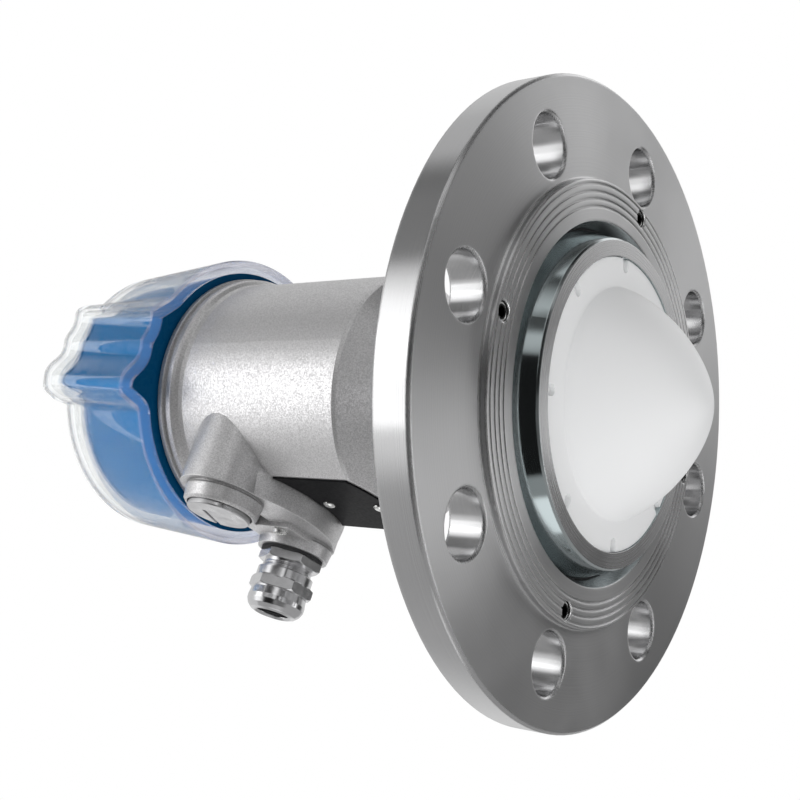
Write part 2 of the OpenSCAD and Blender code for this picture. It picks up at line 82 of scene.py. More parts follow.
class TransmitterSizes(PropertyGroup):
    """Sizes of the lens, the cover and the threads."""

    dome_fillet: FloatProperty(
        name="Dome fillet", description="Radius between the lens dome and its disc", default=1.6 * MM,
        unit="LENGTH",
    )
    shell_wall: FloatProperty(
        name="Shell wall", description="Thickness of the clear shell", default=2.4 * MM, unit="LENGTH"
    )
    rim_band: FloatProperty(
        name="Rim band", description="Width of the clear shell's open rim", default=5.8 * MM, unit="LENGTH"
    )
    lobe_lean: FloatProperty(
        name="Lobe lean", description="How far a grip lobe leans over its height", default=math.radians(2.4),
        subtype="ANGLE",
    )
    thread_pitch: FloatProperty(
        name="Thread pitch", description="Pitch of the gland and plug threads", default=1.5 * MM,
        unit="LENGTH",
    )
    cover_pitch: FloatProperty(
        name="Cover thread pitch", description="Pitch of the thread that carries the cover",
        default=4.0 * MM, unit="LENGTH",
    )
    outline_steps: IntProperty(
        name="Outline steps", description="Points round the moulded cover", default=420, min=120, max=900
    )


class TransmitterColours(PropertyGroup):
    """Colours of the metals and plastics."""

    steel: FloatVectorProperty(
        name="Steel", description="Turned steel of the flange", subtype="COLOR",
        default=(0.60, 0.60, 0.605), min=0, max=1,
    )
    # Painted reflection: a darker, cooler tint for the polished side of the antenna ring than for its face.
    ring: FloatVectorProperty(
        name="Ring steel", description="Polished side of the antenna ring", subtype="COLOR",
        default=(0.46, 0.52, 0.53), min=0, max=1,
    )
    coat: FloatVectorProperty(
        name="Housing coat", description="Silver coat of the housing", subtype="COLOR",
        default=(0.70, 0.695, 0.70), min=0, max=1,
    )
    cap: FloatVectorProperty(
        name="Cap", description="Blue inner part of the cover", subtype="COLOR",
        default=(0.0005, 0.19, 0.5), min=0, max=1,
    )
    lens: FloatVectorProperty(
        name="Lens", description="White plastic of the lens", subtype="COLOR",
        default=(0.86, 0.865, 0.87), min=0, max=1,
    )
    nickel: FloatVectorProperty(
        name="Nickel", description="Plated brass of the gland", subtype="COLOR",
        default=(0.70, 0.70, 0.71), min=0, max=1,
    )


class TransmitterStage(PropertyGroup):
    """The camera, the floor and the light."""

    floor_level: FloatProperty(
        name="Floor level", description="Height of the floor", default=-0.75, unit="LENGTH"
    )
    focal_length: FloatProperty(
        name="Focal length", description="Focal length of the camera", default=53.0, subtype="DISTANCE_CAMERA"
    )
    key_power: FloatProperty(
        name="Key light", description="Power of the key light", default=0.9, unit="POWER"
    )
    surround: FloatProperty(
        name="Surround", description="Brightness of the studio walls", default=0.4, min=0, max=2
    )


# ---- Meshes ----


def grid_faces(rows, cols):
    """Quads of a grid of points whose columns run round and close."""
    start = np.arange(rows - 1)[:, None] * cols
    c = np.arange(cols)[None, :]
    across = (c + 1) % cols
    quads = np.stack([start + c, start + across, start + cols + across, start + cols + c], -1)
    return quads.reshape(-1, 4)


def fan_faces(pole, ring_start, cols, flip):
    """Triangles from a pole point to the ring of points that starts at ring_start."""
    c = np.arange(cols)
    near, far = ring_start + c, ring_start + (c + 1) % cols
    order = (np.full(cols, pole), far, near) if flip else (np.full(cols, pole), near, far)
    return np.stack(order, -1)


def rings_mesh(name, rings, first, last, crease=38):
    """Mesh through rings of points, rings[row, column], in millimetres. Columns close on themselves,
    and first and last are the pole points that close the two ends."""
    rows, cols = rings.shape[:2]
    points = np.vstack([rings.reshape(-1, 3), first, last])
    faces = grid_faces(rows, cols).tolist()
    faces += fan_faces(rows * cols, 0, cols, True).tolist()
    faces += fan_faces(rows * cols + 1, (rows - 1) * cols, cols, False).tolist()
    mesh = bpy.data.meshes.new(name)
    mesh.from_pydata((points * MM).tolist(), [], faces)
    mesh.validate()
    mesh.shade_smooth()
    mesh.set_sharp_from_angle(angle=math.radians(crease))
    piece = bpy.data.objects.new(name, mesh)
    bpy.context.scene.collection.objects.link(piece)
    point_outwards(mesh)
    return piece


def point_outwards(mesh):
    """Turns every face of a closed mesh over if its signed volume is negative."""
    mesh.calc_loop_triangles()
    co = np.empty(len(mesh.vertices) * 3)
    mesh.vertices.foreach_get("co", co)
    tri = np.empty(len(mesh.loop_triangles) * 3, dtype=np.int32)
    mesh.loop_triangles.foreach_get("vertices", tri)
    a, b, c = (co.reshape(-1, 3)[tri.reshape(-1, 3)[:, i]] for i in range(3))
    if np.einsum("ij,ij->i", a, np.cross(b, c)).sum() < 0:
        mesh.flip_normals()


def rounded(profile, radius, steps=5):
    """Profile of (offset, height) pairs with each inner corner cut back by its radius and
    joined by a quadratic curve: (1-t)^2 A + 2t(1-t) P + t^2 B."""
    p = np.asarray(profile, float)
    r = np.broadcast_to(np.asarray(radius, float), (len(p) - 2,))[:, None]
    corner = p[1:-1]
    to_last, to_next = p[:-2] - corner, p[2:] - corner
    len_last = np.linalg.norm(to_last, axis=1, keepdims=True)
    len_next = np.linalg.norm(to_next, axis=1, keepdims=True)
    cut = np.minimum(r, 0.48 * np.minimum(len_last, len_next))
    a = corner + to_last / len_last * cut
    b = corner + to_next / len_next * cut
    t = np.linspace(0, 1, steps)[None, :, None]
    arcs = (1 - t) ** 2 * a[:, None] + 2 * t * (1 - t) * corner[:, None] + t**2 * b[:, None]
    return np.vstack([p[:1], arcs.reshape(-1, 2), p[-1:]])


def turned_rings(profile, cols):
    """Surface of revolution: (r cos a, r sin a, z) for each profile point (r, z) and angle a."""
    a = np.linspace(0, TURN, cols, endpoint=False)
    r, z = profile[:, :1], profile[:, 1:]
    return np.stack([r * np.cos(a), r * np.sin(a), z + 0 * a], -1)


def to_entry(points, x, z):
    """Turns points whose own Z runs outwards through a cable entry, so that it runs along -Y."""
    return np.stack([points[..., 0] + x, -points[..., 2], points[..., 1] + z], -1)


def entry_place(node):
    """Where a piece in a cable entry has its axis, sideways and upright, and how far out it reaches."""
    low, high = box_mm(node)
    return (low[0] + high[0]) / 2, (low[2] + high[2]) / 2, -low[1]


def dress(piece, material, body, slot, *nodes):
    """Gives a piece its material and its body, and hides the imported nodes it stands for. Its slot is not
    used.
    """
    piece.data.materials.clear()
    piece.data.materials.append(material)
    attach(piece, body)
    if nodes:
        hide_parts(*nodes)


def coat_nodes(material, *nodes):
    """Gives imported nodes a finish."""
    for node in nodes:
        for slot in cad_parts[node].material_slots:
            slot.material = material


# ---- Finishes ----

# Sockets of a Mix node that mixes colours.
MIX_FIRST, MIX_SECOND, MIX_RESULT = 6, 7, 2


def add(tree, kind, values=(), **settings):
    """Adds a node, sets its settings, and fills its inputs by name or number."""
    node = tree.nodes.new(kind)
    for key, value in settings.items():
        setattr(node, key, value)
    for key, value in dict(values).items():
        if isinstance(value, bpy.types.NodeSocket):
            tree.links.new(value, node.inputs[key])
        else:
            node.inputs[key].default_value = value
    return node


def maths(tree, operation, *values):
    """The result of an operation on numbers."""
    return add(tree, "ShaderNodeMath", enumerate(values), operation=operation).outputs[0]


def on_vectors(tree, operation, *values, result="Vector"):
    """The result of an operation on vectors: a vector, or a number if result is "Value"."""
    return add(tree, "ShaderNodeVectorMath", enumerate(values), operation=operation).outputs[result]


def finish(name, colour, metallic=0.0, roughness=0.5, **inputs):
    """A material with one principled shader, whose further inputs are named in lower case. Returns
    the material, its tree and the shader."""
    material = bpy.data.materials.new(name)
    material.use_nodes = True
    tree = material.node_tree
    tree.nodes.clear()
    shader = add(tree, "ShaderNodeBsdfPrincipled", {
        "Base Color": (*colour, 1), "Metallic": metallic, "Roughness": roughness,
        **{key.replace("_", " ").title().replace("Ior", "IOR"): value for key, value in inputs.items()},
    })
    out = add(tree, "ShaderNodeOutputMaterial")
    tree.links.new(shader.outputs[0], out.inputs[0])
    return material, tree, shader


def drive(tree, shader, **sources):
    """Links node outputs to inputs of a shader, which are named in lower case."""
    for key, source in sources.items():
        tree.links.new(source, shader.inputs[key.replace("_", " ").title()])


def place(tree):
    """The piece's own coordinates."""
    return add(tree, "ShaderNodeTexCoord").outputs["Object"]


def height_of(tree, where):
    """The height part of coordinates."""
    return add(tree, "ShaderNodeSeparateXYZ", {0: where}).outputs[2]


def noise(tree, where, scale, detail=2.0, rough=0.5):
    """Cloudy pattern with features about 1/scale across."""
    return add(tree, "ShaderNodeTexNoise", {
        "Vector": where, "Scale": scale, "Detail": detail, "Roughness": rough
    }).outputs["Fac"]


def level(tree, value, low, high, from_low=0.3, from_high=0.7, **settings):
    """Maps a pattern's value to the range low to high, and no further."""
    return add(tree, "ShaderNodeMapRange", {
        "Value": value, "From Min": from_low, "From Max": from_high, "To Min": low, "To Max": high
    }, **settings).outputs[0]


def tint(tree, amount, first, second, blend_type="MIX"):
    """Mixes two colours by a pattern's value. Each is three numbers or a node's output."""
    first, second = (c if isinstance(c, bpy.types.NodeSocket) else (*c, 1) for c in (first, second))
    return add(tree, "ShaderNodeMix", {"Factor": amount, MIX_FIRST: first, MIX_SECOND: second},
               data_type="RGBA", blend_type=blend_type).outputs[MIX_RESULT]


def mixed(tree, share, first, second):
    """Mixes the outputs of two shaders by a share."""
    return add(tree, "ShaderNodeMixShader", {0: share, 1: first, 2: second}).outputs[0]


def scaled(colour, share):
    """A colour times a share, with no part above 1."""
    return [min(1.0, share * c) for c in colour]


def softened(tree, radius):
    """The surface's direction, turned evenly from one side of each edge to the other within a radius."""
    return add(tree, "ShaderNodeBevel", {"Radius": radius}, samples=6).outputs[0]


def relief(tree, shader, height, depth, edge=0.0):
    """Bump of that depth in metres, over edges softened by the radius edge."""
    bump = add(tree, "ShaderNodeBump", {"Height": height, "Strength": 1.0, "Distance": depth})
    if edge:
        tree.links.new(softened(tree, edge), bump.inputs["Normal"])
    drive(tree, shader, normal=bump.outputs[0])


def lathe_lines(tree, scale=2600.0):
    """Fine rings left by a lathe: noise along the sum of the distance from the upright axis and the
    height."""
    where = place(tree)
    radius = on_vectors(tree, "LENGTH", on_vectors(tree, "CROSS_PRODUCT", where, UP), result="Value")
    total = maths(tree, "ADD", radius, on_vectors(tree, "DOT_PRODUCT", where, UP, result="Value"))
    return add(tree, "ShaderNodeTexNoise", {"W": total, "Scale": scale, "Detail": 3.0},
               noise_dimensions="1D").outputs["Fac"]


def level_share(tree):
    """1 on level faces and 0 on upright walls."""
    normal = add(tree, "ShaderNodeTexCoord").outputs["Normal"]
    upright = maths(tree, "ABSOLUTE", on_vectors(tree, "DOT_PRODUCT", normal, UP, result="Value"))
    return level(tree, upright, 0, 1, 0.6, 0.9)


def lathe_steel(name, colour, rough, depth=0.012 * MM, stretch=0.6, edge=0.4 * MM, wall_reflection_tint=None,
                wall_rough=0.6):
    """Steel turned about the upright axis: reflections stretched across fine lathe rings, faint clouds
    and softened edges. Walls are wall_rough times as rough as level faces, and may carry a painted
    reflection: a tint of their own."""
    material, tree, shader = finish(
        name, colour, metallic=1.0, roughness=0.3, anisotropic=stretch, anisotropic_rotation=0.25
    )
    face = level_share(tree)
    lines = lathe_lines(tree)
    clouds = noise(tree, place(tree), 45.0, 3.0)
    cloudy = level(tree, maths(tree, "ADD", lines, clouds), *rough, 0.7, 1.3)
    grooved = tint(tree, lines, scaled(colour, 0.88), scaled(colour, 1.08))
    # Painted reflection: walls may take a tint of their own, which stands for what they mirror.
    if wall_reflection_tint:
        grooved = tint(tree, face, wall_reflection_tint, grooved)
    around = add(tree, "ShaderNodeTangent", direction_type="RADIAL", axis="Z").outputs[0]
    roughness = maths(tree, "MULTIPLY", cloudy, level(tree, face, wall_rough, 1, 0, 1))
    drive(tree, shader, roughness=roughness, base_color=grooved, tangent=around)
    relief(tree, shader, lines, depth, edge)
    return material


def painted_corner_shade(tree, colour, reach, shade):
    """Painted shade: darkens a colour to the share shade in corners and recesses closer than reach, where
    less light gets in.
    """
    openness = add(tree, "ShaderNodeAmbientOcclusion", {"Distance": reach}, samples=6).outputs["AO"]
    return tint(tree, 1.0, colour, level(tree, openness, shade, 1, 0.35, 0.9), "MULTIPLY")


def painted_edge_highlight(tree, colour, width, shine):
    """Painted highlight: lightens a colour to shine along edges of the given width, where edges catch the
    light.
    """
    normal = add(tree, "ShaderNodeNewGeometry").outputs["Normal"]
    agree = on_vectors(tree, "DOT_PRODUCT", softened(tree, width), normal, result="Value")
    return tint(tree, level(tree, agree, 1, 0, 0.8, 0.985), colour, (shine, shine, shine))


def silver_coat(colour):
    """Silver powder coat: fine bright flakes in a satin film, with a little orange peel, a painted highlight
    along its edges and painted shade in its corners and recesses.
    """
    material, tree, shader = finish("silver_coat", colour, metallic=0.85, roughness=0.42)
    where = place(tree)
    flakes = add(tree, "ShaderNodeTexVoronoi", {"Vector": where, "Scale": 2600.0, "Randomness": 1.0})
    spark = add(tree, "ShaderNodeSeparateColor", {0: flakes.outputs["Color"]}).outputs[0]
    speckle = maths(tree, "MULTIPLY", spark, noise(tree, where, 2100.0, 2.0, 0.6))
    flecked = tint(tree, level(tree, speckle, 0, 1, 0.05, 0.55), scaled(colour, 0.88), scaled(colour, 1.18))
    # Painted highlight along the coat's edges.
    edged = painted_edge_highlight(tree, flecked, 0.5 * MM, 1.0)
    # Painted shade in the coat's corners and recesses.
    drive(tree, shader, base_color=painted_corner_shade(tree, edged, 4 * MM, 0.5),
          roughness=level(tree, spark, 0.55, 0.3, 0.0, 1.0))
    relief(tree, shader, speckle, 0.03 * MM, 0.6 * MM)
    return material


def plated(name, colour, rough=0.16):
    """Bright plating with faint smears and softened edges."""
    material, tree, shader = finish(name, colour, metallic=1.0, roughness=rough)
    smears = noise(tree, place(tree), 260.0, 4.0, 0.6)
    drive(tree, shader, roughness=level(tree, smears, 0.7 * rough, 1.8 * rough))
    relief(tree, shader, smears, 0.02 * MM, 0.4 * MM)
    return material


def thread_steel(turn, bright_r):
    """Sunk screws: painted highlights and painted shade in bright and dark turns around each of the four
    sockets, with the socket itself in painted shade. The shade is a cosine of the distance to the nearest
    socket's centre, with one wave per turn and full brightness at bright_r."""
    material, tree, shader = finish("thread_steel", (0.6, 0.6, 0.6), metallic=1.0, roughness=0.2)
    squared = add(tree, "ShaderNodeVectorRotate", {"Vector": place(tree), "Angle": -FIRST_SCREW},
                  rotation_type="Z_AXIS").outputs[0]
    x, y, _ = add(tree, "ShaderNodeSeparateXYZ", {0: on_vectors(tree, "ABSOLUTE", squared)}).outputs
    along = maths(tree, "SUBTRACT", maths(tree, "MAXIMUM", x, y), SCREW_CIRCLE_R * MM)
    offset = add(tree, "ShaderNodeCombineXYZ", {0: along, 1: maths(tree, "MINIMUM", x, y)}).outputs[0]
    reach = on_vectors(tree, "LENGTH", offset, result="Value")
    angle = level(tree, reach, -TURN / 2, TURN, bright_r - turn / 2, bright_r + turn)
    bright = level(tree, maths(tree, "COSINE", angle), 0, 1, -0.3, 0.5)
    # Painted highlight and painted shade: near black to white by the turns.
    drive(tree, shader, base_color=tint(tree, bright, (0.01, 0.01, 0.01), (1.0, 1.0, 1.0)))
    return material


def moulded(name, colour, rough=0.4, depth=0.02 * MM, **inputs):
    """Moulded plastic or rubber: a fine grain, slight colour variation and softened edges."""
    material, tree, shader = finish(name, colour, roughness=rough, **inputs)
    where = place(tree)
    grain = noise(tree, where, 900.0, 3.0)
    dark = [0.9 * c for c in colour]
    light = [min(1.0, 1.08 * c + 0.002) for c in colour]
    drive(tree, shader, base_color=tint(tree, noise(tree, where, 60.0, 2.0), dark, light),
          roughness=level(tree, grain, 0.85 * rough, 1.15 * rough))
    relief(tree, shader, grain, depth, 0.4 * MM)
    return material


def clear_plastic(rim_z):
    """Clear plastic with a very fine haze, and painted shade that turns it grey where it is seen edge
    on. Its rim below rim_z is frosted, and its lilac there is a painted reflection."""
    material, tree, shader = finish(
        "clear_plastic", (0.93, 0.94, 0.985), roughness=0.02, transmission_weight=1.0, ior=1.2, alpha=0.6,
        specular_tint=(0.15, 0.2, 0.3, 1)
    )
    where = place(tree)
    rim = level(tree, height_of(tree, where), 1.0, 0.0, rim_z, rim_z + 0.4 * MM)
    haze = level(tree, noise(tree, where, 500.0, 2.0), 0.0, 0.02)
    edge_on = add(tree, "ShaderNodeLayerWeight", {"Blend": 0.35}).outputs["Facing"]
    # Painted shade: the colour turns near black where the shell is seen edge on.
    clear = tint(tree, level(tree, edge_on, 0, 1, 0.5, 0.92), (0.96, 0.985, 0.99), (0.05, 0.05, 0.08))
    # Painted reflection: the rim is painted lilac.
    drive(tree, shader, base_color=tint(tree, rim, clear, (0.50, 0.53, 0.78)),
          roughness=maths(tree, "MULTIPLY_ADD", rim, 0.12, haze),
          alpha=level(tree, edge_on, 0.5, 1.0, 0.5, 0.85),
          transmission_weight=level(tree, rim, 1.0, 0.6, 0.0, 1.0))
    return material


def cap_plastic(colour, rim_z):
    """Glossy blue plastic, with painted shade on the rim that faces the housing."""
    material, tree, shader = finish("blue_plastic", colour, roughness=0.28, specular_ior_level=0.05)
    where = place(tree)
    clear_of_rim_shade = level(tree, height_of(tree, where), 0.0, 1.0, rim_z + 0.6 * MM, rim_z + 1.2 * MM)
    clouds = noise(tree, where, 320.0, 3.0)
    # Painted shade: the rim face is darkened to 0.28 of the colour.
    drive(tree, shader, base_color=tint(tree, clear_of_rim_shade, scaled(colour, 0.28), colour),
          roughness=level(tree, clouds, 0.22, 0.34))
    relief(tree, shader, clouds, 0.01 * MM, 0.4 * MM)
    return material


def lens_plastic(colour):
    """Smooth white plastic, slightly waxy, with light that sinks in a little."""
    material, tree, shader = finish(
        "lens_plastic", colour, roughness=0.42, subsurface_weight=0.25,
        subsurface_radius=(4 * MM, 4 * MM, 4 * MM), subsurface_scale=1.0
    )
    fine = lathe_lines(tree, scale=1400.0)
    drive(tree, shader, roughness=level(tree, fine, 0.38, 0.48),
          base_color=tint(tree, noise(tree, place(tree), 30.0, 2.0), scaled(colour, 0.985), colour))
    relief(tree, shader, fine, 0.004 * MM)
    return material


# ---- Moulded cover ----

LOBES = 2
LOBE_START = math.radians(-30)
# Radius between the lobes, at the open rim and at the closed end.
RIM_R = 63.9
END_R = 59.0
# The cap: the height of its end and of the ceiling of its bore, the bore's radius, and how far the
# bore's seat lies above the open rim.
CAP_TOP = 225.5
CAP_CEILING = 221.5
BORE_R = 50.5
SEAT_RISE = 2.7


class CoverShape(NamedTuple):
    """What the shell and the cap share: the heights of the open rim and of the closed end, how far
    the lobes lean over that height, and how many points run round."""

    rim: float
    end: float
    lean: float
    steps: int


def flank(a, mid, steep, easy):
    """Hump with a steep flank before mid and an easy one after it: exp(-|x|^p)."""
    before = np.exp(-(np.abs((a - mid) / steep) ** 4))
    after = np.exp(-(np.abs((a - mid) / easy) ** 3))
    return np.where(a < mid, before, after)


def step_up(x):
    """Smooth step from 0 at x = 0 to 1 at x = 1."""
    x = np.clip(x, 0, 1)
    return x * x * (3 - 2 * x)


def lobe_height(a, s):
    """Radius of a grip lobe at a degrees from its steep side, where s is 0 at the open rim and 1 at
    the closed end: a level run with a tall hump, a slight one and a low one."""
    run = 66.2 - 1.0 * s
    lobe = (7.4 - 0.6 * s) * flank(a, 7.6, 5.6, 8.4)
    lobe += 1.0 * np.exp(-(((a - 25.0) / 3.4) ** 2)) + 2.1 * np.exp(-(((a - 36.6) / 3.2) ** 2))
    foot = step_up((a + 1.6) / 2.6) * (1 - step_up((a - 39.5) / 9.0))
    return run + lobe, foot


def cover_outline(s, cone_r, lean, steps):
    """Closed outline of the cover, evenly spaced along its length: the larger of the cone's circle
    and the lobes, which fade into the circle at their ends."""
    a = np.linspace(0, 360, 7200, endpoint=False)
    local = (a - math.degrees(LOBE_START) - math.degrees(lean) * s) % (360 / LOBES)
    local = np.where(local > 60, local - 360 / LOBES, local)
    lobe, foot = lobe_height(local, s)
    r = cone_r + foot * np.maximum(lobe - cone_r, 0)
    t = np.radians(a)
    return evenly(np.stack([r * np.cos(t), r * np.sin(t)], -1), steps)


def evenly(ring, steps):
    """The same closed outline, with its points evenly spaced along its length."""
    closed = np.vstack([ring, ring[:1]])
    run = np.concatenate([[0], np.cumsum(np.linalg.norm(np.diff(closed, axis=0), axis=1))])
    even = np.linspace(0, run[-1], steps, endpoint=False)
    return np.stack([np.interp(even, run, closed[:, i]) for i in (0, 1)], -1)


def drawn_in(outline, d, stages=6):
    """Outline moved inwards by d along its own normals, in small stages that keep its points even."""
    for _ in range(stages if d else 0):
        along = np.roll(outline, -1, 0) - np.roll(outline, 1, 0)
        normal = np.stack([along[:, 1], -along[:, 0]], -1)
        normal /= np.linalg.norm(normal, axis=1, keepdims=True)
        outline = evenly(outline - d / stages * normal, len(outline))
    return outline


def cover_rings(rows, shape):
    """Rings of a moulded cover: for each row (inset, height), the outline at that height drawn in by
    the inset."""
    rings = []
    for inset, z in rows:
        s = np.clip((z - shape.rim) / (shape.end - shape.rim), 0, 1)
        cone_r = RIM_R + (END_R - RIM_R) * s
        outline = drawn_in(cover_outline(s, cone_r, shape.lean, shape.steps), inset)
        rings.append(np.column_stack([outline, np.full(shape.steps, z)]))
    return np.array(rings)


def towards_circle(outline, radius, share):
    """Outline mixed by share towards a circle whose even points start in the same direction."""
    steps = len(outline)
    t = np.arctan2(outline[0, 1], outline[0, 0]) + TURN * np.arange(steps) / steps
    circle = radius * np.stack([np.cos(t), np.sin(t)], -1)
    return (1 - share) * outline + share * circle


def towards_axis(ring, shares):
    """Rings level with a ring, each at a share of its distance from the axis."""
    return np.array([ring * (share, share, 1) for share in shares])


def turn_to_match(rings, ring):
    """Gives each column of turned rings the direction that the same column of another ring has."""
    a = np.arctan2(ring[:, 1], ring[:, 0])
    r = np.linalg.norm(rings[..., :2], axis=-1)
    return np.stack([r * np.cos(a), r * np.sin(a), rings[..., 2]], -1)


def corner_rows(inset, top, radius):
    """Rows (inset, height) round the edge of a closed end at the height top, from its foot upwards.
    The rows before and after them run downwards, so the surface folds over at this edge."""
    turns = np.linspace(0, math.pi / 2, 6)[::-1]
    return [(inset + radius * (1 - math.sin(x)), top - radius * (1 - math.cos(x))) for x in turns]


def shell_rows(shape, band, wall):
    """Rows (inset, height) of the clear shell: its closed end, its outside, the rim of width band, and
    its inside."""
    edge = 1.6
    rim, end, lip = shape.rim, shape.end, shape.rim + 2.6
    outside = [(0, z) for z in np.linspace(end - edge - 4, rim + 1.2, 8)]
    under = [(0.12, rim + 0.3), (0.4, rim), (band - 0.3, rim), (band, rim + 0.3)]
    under += [(band, lip), (wall, lip + 0.4)]
    inside = [(wall, z) for z in np.linspace(lip + 4, end - wall - 4, 6)]
    inside += [(wall, end - wall - 1.0), (wall + 1.0, end - wall)]
    return [(edge + 0.8, end)] + corner_rows(0, end, edge) + outside + under + inside


def cap_rows(shape, band):
    """Rows (inset, height) of the outside of the cap, which lies band inside the shell's."""
    outside = [(band, z) for z in np.linspace(CAP_TOP - 4, shape.rim + 0.4, 8)]
    under = [(band + 0.2, shape.rim), (band + 1.0, shape.rim)]
    return [(band + 2.2, CAP_TOP)] + corner_rows(band, CAP_TOP, 1.5) + outside + under


def shell_piece(shape, band, wall):
    """The clear shell, closed at its end."""
    shares = [0.04, 0.3, 0.6, 0.85, 0.95]
    rings = cover_rings(shell_rows(shape, band, wall), shape)
    end, ceiling = towards_axis(rings[0], shares), towards_axis(rings[-1], shares[::-1])
    rings = np.concatenate([end, rings, ceiling])
    return rings_mesh("clear_shell_body", rings, [0, 0, shape.end], [0, 0, shape.end - wall])


def cap_piece(shape, band, hub_z):
    """The blue cap: a hub up to hub_z, a lobed outside and a round bore."""
    pole_r, hub_r, seal_r, chamber_r = 2, 24, 52.3, 48.6
    rim, seat = shape.rim, shape.rim + SEAT_RISE
    outer = cover_rings(cap_rows(shape, band), shape)
    outer[-1, :, :2] = towards_circle(outer[-1, :, :2], 52.6, 0.85)
    bore = turned_rings(np.array([
        [seal_r, rim + 0.2], [seal_r, seat], [BORE_R, seat], [BORE_R, rim + 18], [chamber_r, rim + 18.4],
        [chamber_r, CAP_CEILING], [hub_r, CAP_CEILING], [pole_r, CAP_CEILING]
    ]), shape.steps)
    hub = turned_rings(np.array([
        [pole_r, hub_z], [hub_r - 0.6, hub_z], [hub_r, hub_z - 0.6], [hub_r, CAP_TOP], [hub_r + 6, CAP_TOP]
    ]), shape.steps)
    rings = np.concatenate([turn_to_match(hub, outer[0]), outer, turn_to_match(bore, outer[-1])])
    return rings_mesh("blue_cap_body", rings, [0, 0, hub_z], [0, 0, CAP_CEILING])


# ---- Threads ----


def helix_ridge(radius, depth, pitch, z0, z1, width=0.42, per_turn=48):
    """Rings of a thread ridge: a trapezium carried along a helix, r = radius + depth h(v) and
    z = z0 + pitch a / (2 pi), with both ends run out to nothing."""
    turns = (z1 - z0) / pitch
    a = np.linspace(0, TURN * turns, max(8, int(per_turn * turns)))
    ends = step_up(np.minimum(a, a[-1] - a) / (0.35 * TURN))[:, None]
    side = np.array([-0.5, -0.5 * (1 - width), 0.5 * (1 - width), 0.5])[None, :] * pitch * 0.86
    high = np.array([-0.12, 1, 1, -0.12])[None, :] * depth
    r = radius + high * ends - 0.05 * depth * (1 - ends)
    z = z0 + pitch * a[:, None] / TURN + side * ends
    return np.stack([r * np.cos(a[:, None]), r * np.sin(a[:, None]), z], -1)


def thread(name, rings):
    """Closed ridge from its rings, with its two ends capped."""
    return rings_mesh(name, rings, rings[0].mean(0), rings[-1].mean(0), crease=30)


# ---- Operators ----


class TRANSMITTER_OT_stage(Operator):
    """Adds the camera, the pale floor, the lights and the studio surround"""

    bl_idname = "transmitter.stage"
    bl_label = "Stage"

    def execute(self, context):
        stage = context.scene.transmitter_stage
        set_camera(context.scene, stage.focal_length)
        half = 6.0
        floor = bpy.data.meshes.new("floor")
        corner = [(-half, -half), (half, -half), (half, half), (-half, half)]
        floor.from_pydata([(x, y, stage.floor_level) for x, y in corner], [], [(0, 1, 2, 3)])
        floor_object = bpy.data.objects.new("floor", floor)
        context.scene.collection.objects.link(floor_object)
        floor.materials.append(pale_floor())
        area_light("key", (0.72, -0.25, 0.65), distance=1.0, size=0.5, power=stage.key_power)
        studio_surround(context.scene, stage.surround)
        context.scene.view_settings.view_transform = "Standard"
        return {"FINISHED"}


CAMERA_PLACE = Vector((0.34261, -0.18034, -0.19286))
CAMERA_LOOK = Vector((-0.7108, 0.3773, 0.5936))
CAMERA_UP = Vector((0.4703, 0.8825, 0.0021))


def set_camera(scene, focal_length):
    """Camera below the flange and to its side, looking up at the lens, with the cover to the left."""
    data = bpy.data.cameras.new("camera")
    data.lens = focal_length
    data.sensor_width = 36.0
    data.clip_start = 0.01
    back = -CAMERA_LOOK.normalized()
    right = CAMERA_UP.cross(back).normalized()
    up = back.cross(right)
    turn = Matrix((right, up, back)).transposed().to_4x4()
    camera = bpy.data.objects.new("camera", data)
    camera.matrix_world = Matrix.Translation(CAMERA_PLACE) @ turn
    scene.collection.objects.link(camera)
    scene.camera = camera


def area_light(name, direction, distance, size, power):
    """Soft square light that faces the middle of the object."""
    data = bpy.data.lights.new(name, "AREA")
    data.shape = "SQUARE"
    data.size = size
    data.energy = power
    light = bpy.data.objects.new(name, data)
    aim = Vector(direction).normalized()
    middle = Vector((0, 0, 0.09))
    light.location = middle + aim * distance
    light.rotation_euler = aim.to_track_quat("Z", "Y").to_euler()
    bpy.context.scene.collection.objects.link(light)


def pale_floor():
    """Plain pale floor. Rays other than the camera's pass through it, so it neither lights nor shades."""
    material, tree, shader = finish("pale_floor", (0.9, 0.9, 0.9), roughness=0.7)
    seen = add(tree, "ShaderNodeLightPath").outputs["Is Camera Ray"]
    clear = add(tree, "ShaderNodeBsdfTransparent").outputs[0]
    surface = mixed(tree, seen, clear, shader.outputs[0])
    tree.links.new(surface, tree.nodes["Material Output"].inputs[0])
    return material


